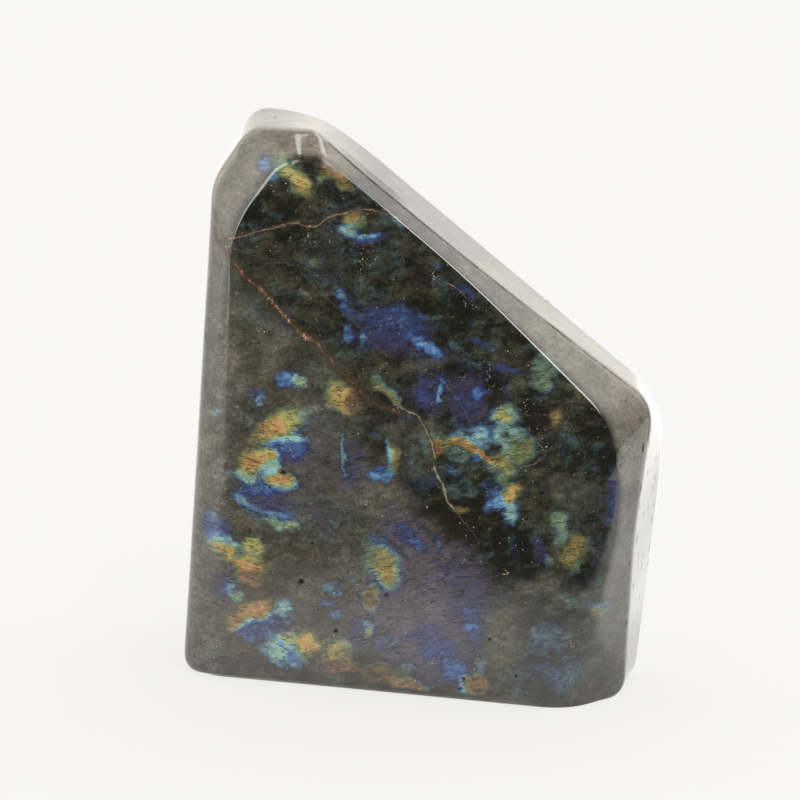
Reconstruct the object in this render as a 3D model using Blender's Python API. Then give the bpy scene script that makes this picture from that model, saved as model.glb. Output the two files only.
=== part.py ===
# A polished labradorite freeform: one piece of stone, sawn, ground and polished, that stands on a flat foot.
#
# Blender 4.5, run with: blender --background --python part.py
#
# Units are metres and +Z is up. The origin is on the foot's level, at the middle of the stone's box. The broad
# polished face looks along -Y, and the long sloping top falls from the crown towards +X.
#
# The stone is described as the lapidary leaves it, by four closed edges that run round it:
#   face edge   where the flat front face stops and the ground bevel starts
#   ridge       where that bevel meets the side walls, the sloping top and the foot
#   far ridge   where the walls meet the bevel at the back
#   back edge   where the flat back face stops
# Each edge is a line through the same twelve corners. Every corner is rounded along the edge by its turn, and
# the surface is rounded across the edge by its softness, so that a crisp edge and a worn one can meet.

from collections import namedtuple

import bmesh
import bpy
from mathutils import Vector

MM = 0.001

# Driving dimensions
WIDTH = 103.0 * MM
DEPTH = 40.0 * MM
HEIGHT = 124.6 * MM
BACK_LEAN = 0.035  # how far the back face leans forward for each metre of height

LEFT, RIGHT = -WIDTH / 2, WIDTH / 2
FRONT, BACK = -DEPTH / 2, DEPTH / 2
FOOT, CROWN = 0.0, HEIGHT

# How finely the round stretches are cut
TURN_STEPS = 4  # facets in each rounded corner of an edge
SOFT_STEPS = 3  # facets in each rounding across an edge
LONGEST_FACET = 13.0 * MM  # a straight side longer than this is divided
MOST_CUT = 0.46  # a rounding takes at most this share of the side beside it

STONE_COLOUR = (0.060, 0.062, 0.052, 1.0)
STONE_ROUGHNESS = 0.12
STONE_IOR = 1.56

Corner = namedtuple("Corner", "name face ridge far_ridge back turn soft")


def mm(*values):
    """The same lengths in metres, for lengths given in millimetres."""
    return tuple(value * MM for value in values)


def back_face_y(z):
    """Where the flat back face stands at height z."""
    return BACK - BACK_LEAN * z


# Corners in order round the stone, clockwise from the front, starting at the foot on the left. face and back
# are (x, z) on the flat faces, and the two ridges are (x, y, z). turn and soft hold one length for each edge:
# face edge, ridge, far ridge, back edge.
CORNERS = (
    Corner(
        "front of the heel",
        face=(LEFT + 9.5 * MM, FOOT + 1.0 * MM),
        ridge=(LEFT + 9.5 * MM, FRONT + 1.2 * MM, FOOT),
        far_ridge=(LEFT + 9.6 * MM, BACK - 1.3 * MM, FOOT),
        back=(LEFT + 10.6 * MM, FOOT + 1.2 * MM),
        turn=mm(1.5, 1.5, 3.0, 3.0),
        soft=mm(0.4, 0.4, 0.5, 0.5),
    ),
    Corner(
        "heel",
        face=(LEFT + 5.0 * MM, FOOT + 1.2 * MM),
        ridge=(LEFT + 0.5 * MM, FRONT + 3.6 * MM, FOOT),
        far_ridge=(LEFT + 1.2 * MM, BACK - 7.5 * MM, FOOT),
        back=(LEFT + 6.6 * MM, FOOT + 1.5 * MM),
        turn=mm(4.0, 4.2, 4.2, 4.0),
        soft=mm(2.0, 2.0, 2.2, 1.4),
    ),
    Corner(
        "cheek",
        face=(LEFT + 9.1 * MM, CROWN - 24.4 * MM),
        ridge=(LEFT + 2.9 * MM, FRONT + 5.8 * MM, CROWN - 15.6 * MM),
        far_ridge=(LEFT, BACK - 18.0 * MM, CROWN - 14.6 * MM),
        back=(LEFT + 7.2 * MM, CROWN - 20.0 * MM),
        turn=mm(13.0, 4.0, 3.0, 5.0),
        soft=mm(0.6, 2.0, 2.6, 1.2),
    ),
    Corner(
        "temple",
        face=(LEFT + 18.3 * MM, CROWN - 10.8 * MM),
        ridge=(LEFT + 10.7 * MM, FRONT + 7.0 * MM, CROWN - 3.2 * MM),
        far_ridge=(LEFT + 7.2 * MM, BACK - 12.0 * MM, CROWN + 0.2 * MM),
        back=(LEFT + 13.1 * MM, CROWN - 7.0 * MM),
        turn=mm(3.5, 4.6, 5.5, 4.0),
        soft=mm(0.8, 1.6, 2.8, 1.2),
    ),
    Corner(
        "crown, left of the nick",
        face=(LEFT + 23.1 * MM, CROWN - 8.7 * MM),
        ridge=(LEFT + 20.7 * MM, FRONT + 5.0 * MM, CROWN - 2.9 * MM),
        far_ridge=(LEFT + 15.4 * MM, BACK - 10.5 * MM, CROWN - 0.4 * MM),
        back=(LEFT + 18.6 * MM, CROWN - 6.8 * MM),
        turn=mm(1.2, 1.4, 3.0, 2.5),
        soft=mm(1.2, 1.3, 2.8, 1.2),
    ),
    Corner(
        "crown, right of the nick",
        face=(LEFT + 28.1 * MM, CROWN - 8.9 * MM),
        ridge=(LEFT + 25.4 * MM, FRONT + 4.5 * MM, CROWN - 2.8 * MM),
        far_ridge=(LEFT + 23.6 * MM, BACK - 10.5 * MM, CROWN - 2.4 * MM),
        back=(LEFT + 24.6 * MM, CROWN - 8.4 * MM),
        turn=mm(1.8, 1.8, 4.0, 3.0),
        soft=mm(1.0, 1.2, 2.8, 1.2),
    ),
    Corner(
        "brow",
        face=(LEFT + 35.1 * MM, CROWN - 13.1 * MM),
        ridge=(LEFT + 36.0 * MM, FRONT + 3.4 * MM, CROWN - 11.1 * MM),
        far_ridge=(LEFT + 33.1 * MM, BACK - 10.0 * MM, CROWN - 8.4 * MM),
        back=(LEFT + 32.1 * MM, CROWN - 13.4 * MM),
        turn=mm(3.0, 5.0, 5.0, 4.0),
        soft=mm(0.6, 1.0, 2.6, 1.0),
    ),
    Corner(
        "middle of the slope",
        face=(LEFT + 60.1 * MM, CROWN - 31.6 * MM),
        ridge=(LEFT + 64.1 * MM, FRONT + 4.4 * MM, CROWN - 31.5 * MM),
        far_ridge=(LEFT + 62.1 * MM, BACK - 10.0 * MM, CROWN - 29.7 * MM),
        back=(LEFT + 57.6 * MM, CROWN - 31.9 * MM),
        turn=mm(13.0, 13.0, 13.0, 13.0),
        soft=mm(0.45, 0.9, 2.4, 1.0),
    ),
    Corner(
        "shoulder",
        face=(RIGHT - 9.6 * MM, CROWN - 60.9 * MM),
        ridge=(RIGHT - 2.2 * MM, FRONT + 8.5 * MM, CROWN - 56.8 * MM),
        far_ridge=(RIGHT - 0.2 * MM, BACK - 10.5 * MM, CROWN - 59.2 * MM),
        back=(RIGHT - 7.0 * MM, CROWN - 63.0 * MM),
        turn=mm(8.5, 5.5, 11.0, 10.0),
        soft=mm(0.6, 1.8, 2.8, 1.2),
    ),
    Corner(
        "hip",
        face=(RIGHT - 8.3 * MM, FOOT + 37.2 * MM),
        ridge=(RIGHT - 3.8 * MM, FRONT + 7.5 * MM, FOOT + 39.2 * MM),
        far_ridge=(RIGHT, BACK - 10.5 * MM, FOOT + 42.2 * MM),
        back=(RIGHT - 6.0 * MM, FOOT + 41.2 * MM),
        turn=mm(12.0, 8.0, 8.0, 8.0),
        soft=mm(3.0, 1.0, 2.6, 1.2),
    ),
    Corner(
        "toe",
        face=(RIGHT - 14.2 * MM, FOOT + 15.0 * MM),
        ridge=(RIGHT - 3.6 * MM, FRONT + 16.0 * MM, FOOT),
        far_ridge=(RIGHT - 2.4 * MM, BACK - 8.5 * MM, FOOT),
        back=(RIGHT - 8.4 * MM, FOOT + 1.6 * MM),
        turn=mm(6.0, 5.0, 4.0, 4.0),
        soft=mm(4.2, 1.2, 2.4, 1.4),
    ),
    Corner(
        "front of the toe",
        face=(RIGHT - 19.8 * MM, FOOT + 1.8 * MM),
        ridge=(RIGHT - 16.0 * MM, FRONT + 1.4 * MM, FOOT),
        far_ridge=(RIGHT - 12.4 * MM, BACK - 1.3 * MM, FOOT),
        back=(RIGHT - 14.0 * MM, FOOT + 1.2 * MM),
        turn=mm(5.0, 6.5, 3.5, 3.0),
        soft=mm(1.6, 0.8, 0.5, 0.5),
    ),
)

FACE_CENTRE = Vector((RIGHT - 54.0 * MM, FRONT, FOOT + 53.2 * MM))


def edge_corners(edge):
    """One edge's corners as points: 0 is the face edge, 1 the ridge, 2 the far ridge, 3 the back edge."""
    if edge == 0:
        return [Vector((c.face[0], FRONT, c.face[1])) for c in CORNERS]
    if edge == 1:
        return [Vector(c.ridge) for c in CORNERS]
    if edge == 2:
        return [Vector(c.far_ridge) for c in CORNERS]
    return [Vector((c.back[0], back_face_y(c.back[1]), c.back[1])) for c in CORNERS]


def cut_length(wanted, corner, *neighbours):
    """How far a rounding may reach along the sides of a corner."""
    room = min((neighbour - corner).length for neighbour in neighbours)
    return min(wanted, MOST_CUT * room)


def rounded(before, corner, after, cut, steps):
    """Points of a smooth turn that leaves one side and joins the next, each at the cut's distance."""
    start = corner + (before - corner).normalized() * cut
    end = corner + (after - corner).normalized() * cut
    points = []
    for step in range(steps + 1):
        t = step / steps
        points.append(start.lerp(corner, t).lerp(corner.lerp(end, t), t))
    return points


def side_steps():
    """Into how many parts the straight run after each corner is divided, the same on every edge."""
    ridge = edge_corners(1)
    count = len(ridge)
    return [1 + int((ridge[(i + 1) % count] - ridge[i]).length / LONGEST_FACET) for i in range(count)]


def edge_line(edge):
    """One edge as a closed line of points, with the softness across it at each point."""
    corners = edge_corners(edge)
    count = len(corners)
    divisions = side_steps()
    turns = []
    for i, corner in enumerate(corners):
        before, after = corners[i - 1], corners[(i + 1) % count]
        cut = cut_length(CORNERS[i].turn[edge], corner, before, after)
        turns.append(rounded(before, corner, after, cut, TURN_STEPS))
    points, softness = [], []
    for i, turn in enumerate(turns):
        here, following = CORNERS[i].soft[edge], CORNERS[(i + 1) % count].soft[edge]
        points += turn
        softness += [here] * len(turn)
        run_start, run_end = turn[-1], turns[(i + 1) % count][0]
        for step in range(1, divisions[i]):
            t = step / divisions[i]
            points.append(run_start.lerp(run_end, t))
            softness.append(here + (following - here) * t)
    return points, softness


def stone_sections():
    """The stone's section at each point of its edges, from the rim of the front face to that of the back."""
    lines = [edge_line(edge) for edge in range(4)]
    back_centre = Vector((FACE_CENTRE.x, back_face_y(FACE_CENTRE.z), FACE_CENTRE.z))
    sections = []
    for i in range(len(lines[0][0])):
        path = [FACE_CENTRE] + [points[i] for points, _ in lines] + [back_centre]
        section = []
        for edge in range(4):
            before, corner, after = path[edge : edge + 3]
            cut = cut_length(lines[edge][1][i], corner, before, after)
            section += rounded(before, corner, after, cut, SOFT_STEPS)
        sections.append(section)
    return sections


def stone_mesh(name):
    """The stone's closed skin: a flat front, the bevels and walls between, and a flat back."""
    sections = stone_sections()
    mesh = bmesh.new()
    rows = [[mesh.verts.new(point) for point in section] for section in sections]
    for i, row in enumerate(rows):
        following = rows[(i + 1) % len(rows)]
        for j in range(len(row) - 1):
            mesh.faces.new((row[j], row[j + 1], following[j + 1], following[j]))
    mesh.faces.new([row[0] for row in rows])
    mesh.faces.new([row[-1] for row in reversed(rows)])
    bmesh.ops.recalc_face_normals(mesh, faces=mesh.faces)
    data = bpy.data.meshes.new(name)
    mesh.to_mesh(data)
    mesh.free()
    return data


def polished_stone():
    """The colour and gloss of the stone."""
    material = bpy.data.materials.new("polished labradorite")
    material.use_nodes = True
    shader = material.node_tree.nodes["Principled BSDF"]
    shader.inputs["Base Color"].default_value = STONE_COLOUR
    shader.inputs["Roughness"].default_value = STONE_ROUGHNESS
    shader.inputs["IOR"].default_value = STONE_IOR
    shader.inputs["Metallic"].default_value = 0.0
    return material


def make_stone():
    """The whole object, which is one solid."""
    data = stone_mesh("labradorite_stone")
    data.shade_smooth()
    data.materials.append(polished_stone())
    stone = bpy.data.objects.new("labradorite_stone", data)
    bpy.context.scene.collection.objects.link(stone)
    return stone


def main():
    for old in list(bpy.data.objects):
        bpy.data.objects.remove(old)
    make_stone()


main()
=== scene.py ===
import math
import random

import bpy
import numpy as np
from mathutils import Matrix, Vector, noise
from mathutils.geometry import delaunay_2d_cdt


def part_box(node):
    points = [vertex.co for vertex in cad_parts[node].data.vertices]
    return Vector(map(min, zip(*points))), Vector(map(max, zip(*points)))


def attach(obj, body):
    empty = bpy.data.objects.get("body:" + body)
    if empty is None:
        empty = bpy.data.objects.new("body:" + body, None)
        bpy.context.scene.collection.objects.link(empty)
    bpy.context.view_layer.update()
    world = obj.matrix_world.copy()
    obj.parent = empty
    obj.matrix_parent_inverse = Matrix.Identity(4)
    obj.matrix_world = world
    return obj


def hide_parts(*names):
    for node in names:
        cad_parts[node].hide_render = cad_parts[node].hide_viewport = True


# A polished labradorite freeform. The imported solid gives its place and size, and this script makes the fine
# ground surface and the stone's own pattern. Painted reflection (a pale sheen on the bevels and the lower
# face) and painted shade (in the pits and along one ridge) are laid into that colour. Lengths are in
# millimetres, but those of the scattered pits, the bump and the studio are in metres.
mm = 0.001

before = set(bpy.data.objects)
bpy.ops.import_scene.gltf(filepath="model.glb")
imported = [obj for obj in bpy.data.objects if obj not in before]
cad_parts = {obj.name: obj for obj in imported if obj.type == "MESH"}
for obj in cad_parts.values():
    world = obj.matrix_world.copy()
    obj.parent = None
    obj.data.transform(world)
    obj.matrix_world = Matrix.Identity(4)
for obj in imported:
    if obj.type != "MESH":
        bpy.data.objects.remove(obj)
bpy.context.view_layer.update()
stoneLow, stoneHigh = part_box("labradorite_stone")
print("frame loaded")


# The ground shape
grinding = {
    "sideReach": 0.37,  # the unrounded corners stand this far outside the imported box
    "crownReach": 0.43,
    "backReach": 0.06,
    "backLean": 0.035,
    "turnSteps": 9,
    "softSteps": 6,
    "cellAround": 0.9,
    "cellsAcross": (9, 30, 13),  # front bevel, wall, back bevel
    "mostCut": 0.46,  # share of an edge that a turn may take
    "easeShare": 0.45,  # the edge reaches a softer corner's softness this far along
    "easePower": 1.5,
    "frontCell": 0.6,
    "backCell": 0.95,
    "waveHeight": 0.05,  # the polish is never quite flat
    "waveLength": 17.0,
    "rippleHeight": 0.012,
    "rippleLength": 5.0,
    "stillFoot": (0.5, 6.0),  # heights between which the waves set in
    "pitDepth": 0.5,
    "pitFloor": 0.45,  # shares of a pit's radius
    "pitWall": 0.6,
    "pitPower": 0.7,
    "pitRings": ((0.35, 6), (0.7, 9), (0.95, 12), (1.15, 12)),  # share of the radius, points
    "pitWobble": 0.18,
}

left = stoneLow.x / mm - grinding["sideReach"]
right = stoneHigh.x / mm + grinding["sideReach"]
crown = stoneHigh.z / mm + grinding["crownReach"]
foot = stoneLow.z / mm
front = stoneLow.y / mm
back = stoneHigh.y / mm + grinding["backReach"]


def backFaceY(z):
    return back - grinding["backLean"] * z


# One line for each edge of a corner: face edge (x, z), ridge (x, y, z), far ridge (x, y, z), back edge
# (x, z), then the turn along each edge and the softness across it.
corners = [
    [  # front of the heel
        (left + 9.5, foot + 1),
        (left + 9.5, front + 1.2, foot),
        (left + 9.6, back - 1.3, foot),
        (left + 10.6, foot + 1.2),
        (1.5, 1.5, 3, 3),
        (0.4, 0.4, 0.5, 0.5),
    ],
    [  # heel
        (left + 5, foot + 1.2),
        (left + 0.5, front + 3.6, foot),
        (left + 1.2, back - 7.5, foot),
        (left + 6.6, foot + 1.5),
        (4, 4.2, 4.2, 4),
        (5.5, 2.6, 2.2, 1.4),
    ],
    [  # cheek
        (left + 9.1, crown - 24.4),
        (left + 2.9, front + 5.8, crown - 15.6),
        (left, back - 18, crown - 14.6),
        (left + 7.2, crown - 20),
        (13, 4, 3, 5),
        (0.35, 3.2, 2.6, 1.2),
    ],
    [  # temple
        (left + 18.3, crown - 10.8),
        (left + 10.7, front + 7, crown - 3.2),
        (left + 7.2, back - 12, crown + 0.2),
        (left + 13.1, crown - 7),
        (3.5, 4.6, 5.5, 4),
        (0.6, 1.6, 2.8, 1.2),
    ],
    [  # crown, left of the nick
        (left + 23.1, crown - 8.7),
        (left + 20.7, front + 5, crown - 2.9),
        (left + 15.4, back - 10.5, crown - 0.4),
        (left + 18.6, crown - 6.8),
        (1.2, 1.4, 3, 2.5),
        (1.2, 1.3, 2.8, 1.2),
    ],
    [  # crown, right of the nick
        (left + 28.1, crown - 8.9),
        (left + 25.4, front + 4.5, crown - 2.8),
        (left + 23.6, back - 10.5, crown - 2.4),
        (left + 24.6, crown - 8.4),
        (1.8, 1.8, 4, 3),
        (2, 1.2, 2.8, 1.2),
    ],
    [  # brow
        (left + 35.1, crown - 13.1),
        (left + 36, front + 3.4, crown - 11.1),
        (left + 33.1, back - 10, crown - 8.4),
        (left + 32.1, crown - 13.4),
        (3, 5, 5, 4),
        (0.6, 1, 2.6, 1),
    ],
    [  # middle of the slope
        (left + 60.1, crown - 31.6),
        (left + 64.1, front + 4.4, crown - 31.5),
        (left + 62.1, back - 10, crown - 29.7),
        (left + 57.6, crown - 31.9),
        (13, 13, 13, 13),
        (0.45, 0.9, 2.4, 1),
    ],
    [  # shoulder
        (right - 9.6, crown - 60.9),
        (right - 2.2, front + 8.5, crown - 56.8),
        (right - 0.2, back - 10.5, crown - 59.2),
        (right - 7, crown - 63),
        (8.5, 5.5, 11, 10),
        (0.6, 1.8, 2.8, 1.2),
    ],
    [  # hip
        (right - 8.3, foot + 37.2),
        (right - 4.4, front + 7.5, foot + 39.2),
        (right, back - 10.5, foot + 42.2),
        (right - 6, foot + 41.2),
        (12, 8, 8, 8),
        (3, 1, 2.6, 1.2),
    ],
    [  # toe
        (right - 14.2, foot + 15),
        (right - 4.3, front + 15.6, foot),
        (right - 2.4, back - 8.5, foot),
        (right - 8.4, foot + 1.6),
        (6, 5, 4, 4),
        (4.2, 1.2, 2.4, 1.4),
    ],
    [  # front of the toe
        (right - 19.8, foot + 1.8),
        (right - 16, front + 1.4, foot),
        (right - 12.4, back - 1.3, foot),
        (right - 14, foot + 1.2),
        (5, 6.5, 3.5, 3),
        (1.6, 0.8, 0.5, 0.5),
    ],
]
faceCentre = np.array((right - 54.0, front, foot + 53.2))


def edgePlaces(edge):
    places = []
    for corner in corners:
        place = corner[edge]
        if edge == 0:
            place = (place[0], front, place[1])
        if edge == 3:
            place = (place[0], backFaceY(place[1]), place[1])
        places.append(np.array(place, dtype=float))
    return places


def curve(start, corner, end, steps):
    shares = np.linspace(0, 1, steps + 1)
    return [start * (1 - t) ** 2 + corner * 2 * t * (1 - t) + end * t * t for t in shares]


def rounded(before, corner, after, cut, steps):
    start = corner + (before - corner) / np.linalg.norm(before - corner) * cut
    end = corner + (after - corner) / np.linalg.norm(after - corner) * cut
    return curve(start, corner, end, steps)


def edgeLine(edge, runSteps):
    places = edgePlaces(edge)
    count = len(places)
    turns = []
    for i, corner in enumerate(places):
        before, after = places[i - 1], places[(i + 1) % count]
        room = min(np.linalg.norm(before - corner), np.linalg.norm(after - corner))
        cut = min(corners[i][4][edge], grinding["mostCut"] * room)
        turns.append(rounded(before, corner, after, cut, grinding["turnSteps"]))
    points, softness = [], []
    for i, turn in enumerate(turns):
        here, following = corners[i][5][edge], corners[(i + 1) % count][5][edge]
        points += turn
        softness += [here] * len(turn)
        for t in np.linspace(0, 1, runSteps[i] + 1)[1:-1]:
            points.append(turn[-1] * (1 - t) + turns[(i + 1) % count][0] * t)
            eased = min(t / grinding["easeShare"], 1) ** grinding["easePower"]
            share = t**3 if following < here else eased
            softness.append(here + (following - here) * share)
    return np.array(points), np.array(softness)


def lengthsOf(vectors):
    return np.linalg.norm(vectors, axis=-1, keepdims=True)


def offLine(points, a, b):
    # to the points from the nearest place on the line between a and b
    along = np.clip(((points - a) @ (b - a)) / ((b - a) @ (b - a)), 0, 1)
    return points - a - along[:, None] * (b - a)


def stoneRows():
    ridge = edgePlaces(1)
    runSteps = []
    for i, place in enumerate(ridge):
        run = np.linalg.norm(ridge[(i + 1) % len(ridge)] - place)
        runSteps.append(max(2, round(run / grinding["cellAround"]) - grinding["turnSteps"] // 2))
    lines = [edgeLine(edge, runSteps) for edge in range(4)]
    count = len(lines[0][0])
    backCentre = np.array((faceCentre[0], backFaceY(faceCentre[2]), faceCentre[2]))
    path = [np.tile(faceCentre, (count, 1))] + [line[0] for line in lines] + [np.tile(backCentre, (count, 1))]
    rows = []
    for edge in range(4):
        before, corner, after = path[edge : edge + 3]
        toBefore, toAfter = before - corner, after - corner
        soft, most = lines[edge][1][:, None], grinding["mostCut"]
        start = corner + toBefore / lengthsOf(toBefore) * np.minimum(soft, most * lengthsOf(toBefore))
        end = corner + toAfter / lengthsOf(toAfter) * np.minimum(soft, most * lengthsOf(toAfter))
        if rows:
            cells = grinding["cellsAcross"][edge - 1]
            rows += [lastEnd * (1 - t) + start * t for t in np.linspace(0, 1, cells + 1)[1:-1]]
        rows += curve(start, corner, end, grinding["softSteps"])
        lastEnd = end
    return rows


def insideOf(outline, points, margin):
    inside = np.zeros(len(points), dtype=bool)
    nearest = np.full(len(points), 1e9)
    for a, b in zip(outline, np.roll(outline, -1, axis=0)):
        crosses = (a[1] > points[:, 1]) != (b[1] > points[:, 1])
        rise = b[1] - a[1]
        if abs(rise) > 1e-12:
            at = a[0] + (points[:, 1] - a[1]) / rise * (b[0] - a[0])
            inside ^= crosses & (points[:, 0] < at)
        nearest = np.minimum(nearest, lengthsOf(offLine(points, a, b))[:, 0])
    return inside & (nearest > margin)


def capPoints(outline, cell, pits):
    rowHeight = cell * math.sqrt(3) / 2
    low, high = outline.min(0), outline.max(0)
    points = []
    for j, z in enumerate(np.arange(low[1], high[1], rowHeight)):
        shift = cell / 2 if j % 2 else 0.0
        points += [(x, z) for x in np.arange(low[0] + shift, high[0], cell)]
    points = np.array(points)
    points = points[insideOf(outline, points, cell * 0.5)]
    for x, drawnZ, radius, _ in pits:
        z = drawnZ + patternFoot
        points = points[np.hypot(points[:, 0] - x, points[:, 1] - z) > radius * 1.25]
        rings = [(x, z)]
        for share, spokes in grinding["pitRings"]:
            for k in range(spokes):
                angle = 2 * math.pi * (k + share) / spokes
                reach = radius * share * (1 + grinding["pitWobble"] * math.sin(3 * angle + x))
                rings.append((x + reach * math.cos(angle), z + reach * math.sin(angle)))
        points = np.vstack((points, rings))
    return points


# Heights in the pattern count from this far above the foot
patternFoot = foot + 1.2

# Open pits in the front face: x, z, radius, depth
facePits = (
    (8.6, 71.2, 0.75, 0.5),
    (14.9, 69.8, 0.8, 0.5),
    (16.8, 69.2, 0.55, 0.4),
    (-7.9, 70.6, 0.5, 0.4),
    (27.2, 47, 0.7, 0.35),
    (33, 51.7, 0.6, 0.3),
    (-29, 46.6, 0.8, 0.3),
    (-24, 22.6, 0.8, 0.5),
    (-42.6, 16, 0.7, 0.35),
    (-15.8, 12.2, 0.6, 0.4),
    (12.8, 4.2, 0.5, 0.3),
    (12.4, 1.8, 0.45, 0.3),
    (-31.9, 43.1, 0.5, 0.3),
    (-21.9, 31.5, 0.5, 0.3),
    (-30, 98.2, 0.5, 0.3),
    (24.2, 41, 0.6, 0.3),
)


def stoneMesh(name):
    rows = stoneRows()
    count = len(rows[0])
    places = np.vstack(rows)
    faces = []
    for j in range(len(rows) - 1):
        for i in range(count):
            k = (i + 1) % count
            faces.append((j * count + i, j * count + k, (j + 1) * count + k, (j + 1) * count + i))
    frontCap = (rows[0], 0, grinding["frontCell"], facePits)
    backCap = (rows[-1], len(places) - count, grinding["backCell"], ())
    for rim, firstRim, cell, pits in (frontCap, backCap):
        outline = rim[:, (0, 2)]
        inner = capPoints(outline, cell, pits)
        flat = np.vstack((outline, inner))
        edges = [(i, (i + 1) % count) for i in range(count)]
        found = delaunay_2d_cdt([Vector(p) for p in flat], edges, [], 1, 1e-5)
        origin = [entry[0] for entry in found[3]]
        y = np.full(len(inner), front) if firstRim == 0 else backFaceY(inner[:, 1])
        firstInner = len(places)
        for x, z, radius, depth in pits:
            reach = np.hypot(inner[:, 0] - x, inner[:, 1] - z - patternFoot) / radius
            wall = np.clip((reach - grinding["pitFloor"]) / grinding["pitWall"], 0, 1) ** grinding["pitPower"]
            y = y + depth * grinding["pitDepth"] * (1 - wall)
        places = np.vstack((places, np.column_stack((inner[:, 0], y, inner[:, 1]))))
        for triangle in found[2]:
            spots = [origin[k] for k in triangle]
            spots = [firstRim + k if k < count else firstInner + k - count for k in spots]
            faces.append(tuple(spots if firstRim == 0 else reversed(spots)))
    mesh = bpy.data.meshes.new(name)
    mesh.from_pydata((places * mm).tolist(), [], faces)
    mesh.update()
    mesh.shade_smooth()
    return mesh


def placesOf(mesh):
    flat = np.empty(len(mesh.vertices) * 3)
    mesh.vertices.foreach_get("co", flat)
    return flat.reshape(-1, 3) / mm


def normalsOf(mesh):
    flat = np.empty(len(mesh.vertices) * 3)
    mesh.vertex_normals.foreach_get("vector", flat)
    return flat.reshape(-1, 3)


def noiseAt(points, length, seed):
    shift = Vector((seed * 7.3, seed * 3.1, seed * 5.7))
    return np.array([noise.noise(Vector(p) + shift) for p in points / length])


def smooth(low, high, values):
    t = np.clip((values - low) / (high - low), 0, 1)
    return t * t * (3 - 2 * t)


def waveTheSurface(mesh):
    places, normals = placesOf(mesh), normalsOf(mesh)
    wave = noiseAt(places, grinding["waveLength"], 1) * grinding["waveHeight"]
    wave += noiseAt(places, grinding["rippleLength"], 2) * grinding["rippleHeight"]
    wave *= smooth(*grinding["stillFoot"], places[:, 2])
    mesh.vertices.foreach_set("co", ((places + normals * wave[:, None]) * mm).ravel())
    mesh.update()


rawMesh = stoneMesh("groundStone")
waveTheSurface(rawMesh)
print("ground surface:", len(rawMesh.vertices), "points", len(rawMesh.loop_triangles), "triangles")


# Scattered pits, one Geometry Nodes tree with its sizes as inputs
pitting = {
    "Pits per square metre": 1500.0,
    "Smallest pit": 0.00025,
    "Largest pit": 0.0006,
    "Deepest pit": 0.00007,
    "Lowest pit": 0.004,  # none on the foot
    "Seed": 11,
}


def newNode(tree, kind, inputs=None, **settings):
    node = tree.nodes.new(kind)
    for name, value in settings.items():
        setattr(node, name, value)
    for key, value in (inputs or {}).items():
        if isinstance(value, bpy.types.NodeSocket):
            tree.links.new(value, node.inputs[key])
        else:
            node.inputs[key].default_value = value
    return node


def mathOf(tree, operation, first, second=0.0, clamp=False):
    inputs = {0: first, 1: second}
    return newNode(tree, "ShaderNodeMath", inputs, operation=operation, use_clamp=clamp).outputs[0]


def joined(tree, operation, values):
    total = values[0]
    for value in values[1:]:
        total = mathOf(tree, operation, total, value)
    return total


def sumOf(tree, *values):
    return joined(tree, "ADD", values)


def times(tree, *values):
    return joined(tree, "MULTIPLY", values)


def mostOf(tree, *values):
    return joined(tree, "MAXIMUM", values)


def scaled(tree, vector, scale):
    return newNode(tree, "ShaderNodeVectorMath", {0: vector, "Scale": scale}, operation="SCALE").outputs[0]


def distanceOf(tree, first, second):
    inputs = {0: first, 1: second}
    return newNode(tree, "ShaderNodeVectorMath", inputs, operation="DISTANCE").outputs["Value"]


def axesOf(tree, vector):
    return newNode(tree, "ShaderNodeSeparateXYZ", {0: vector}).outputs


def rangeOf(tree, value, fromMin, fromMax, toMin=0.0, toMax=1.0, kind="SMOOTHSTEP"):
    inputs = {"Value": value, "From Min": fromMin, "From Max": fromMax, "To Min": toMin, "To Max": toMax}
    return newNode(tree, "ShaderNodeMapRange", inputs, interpolation_type=kind).outputs["Result"]


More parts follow.
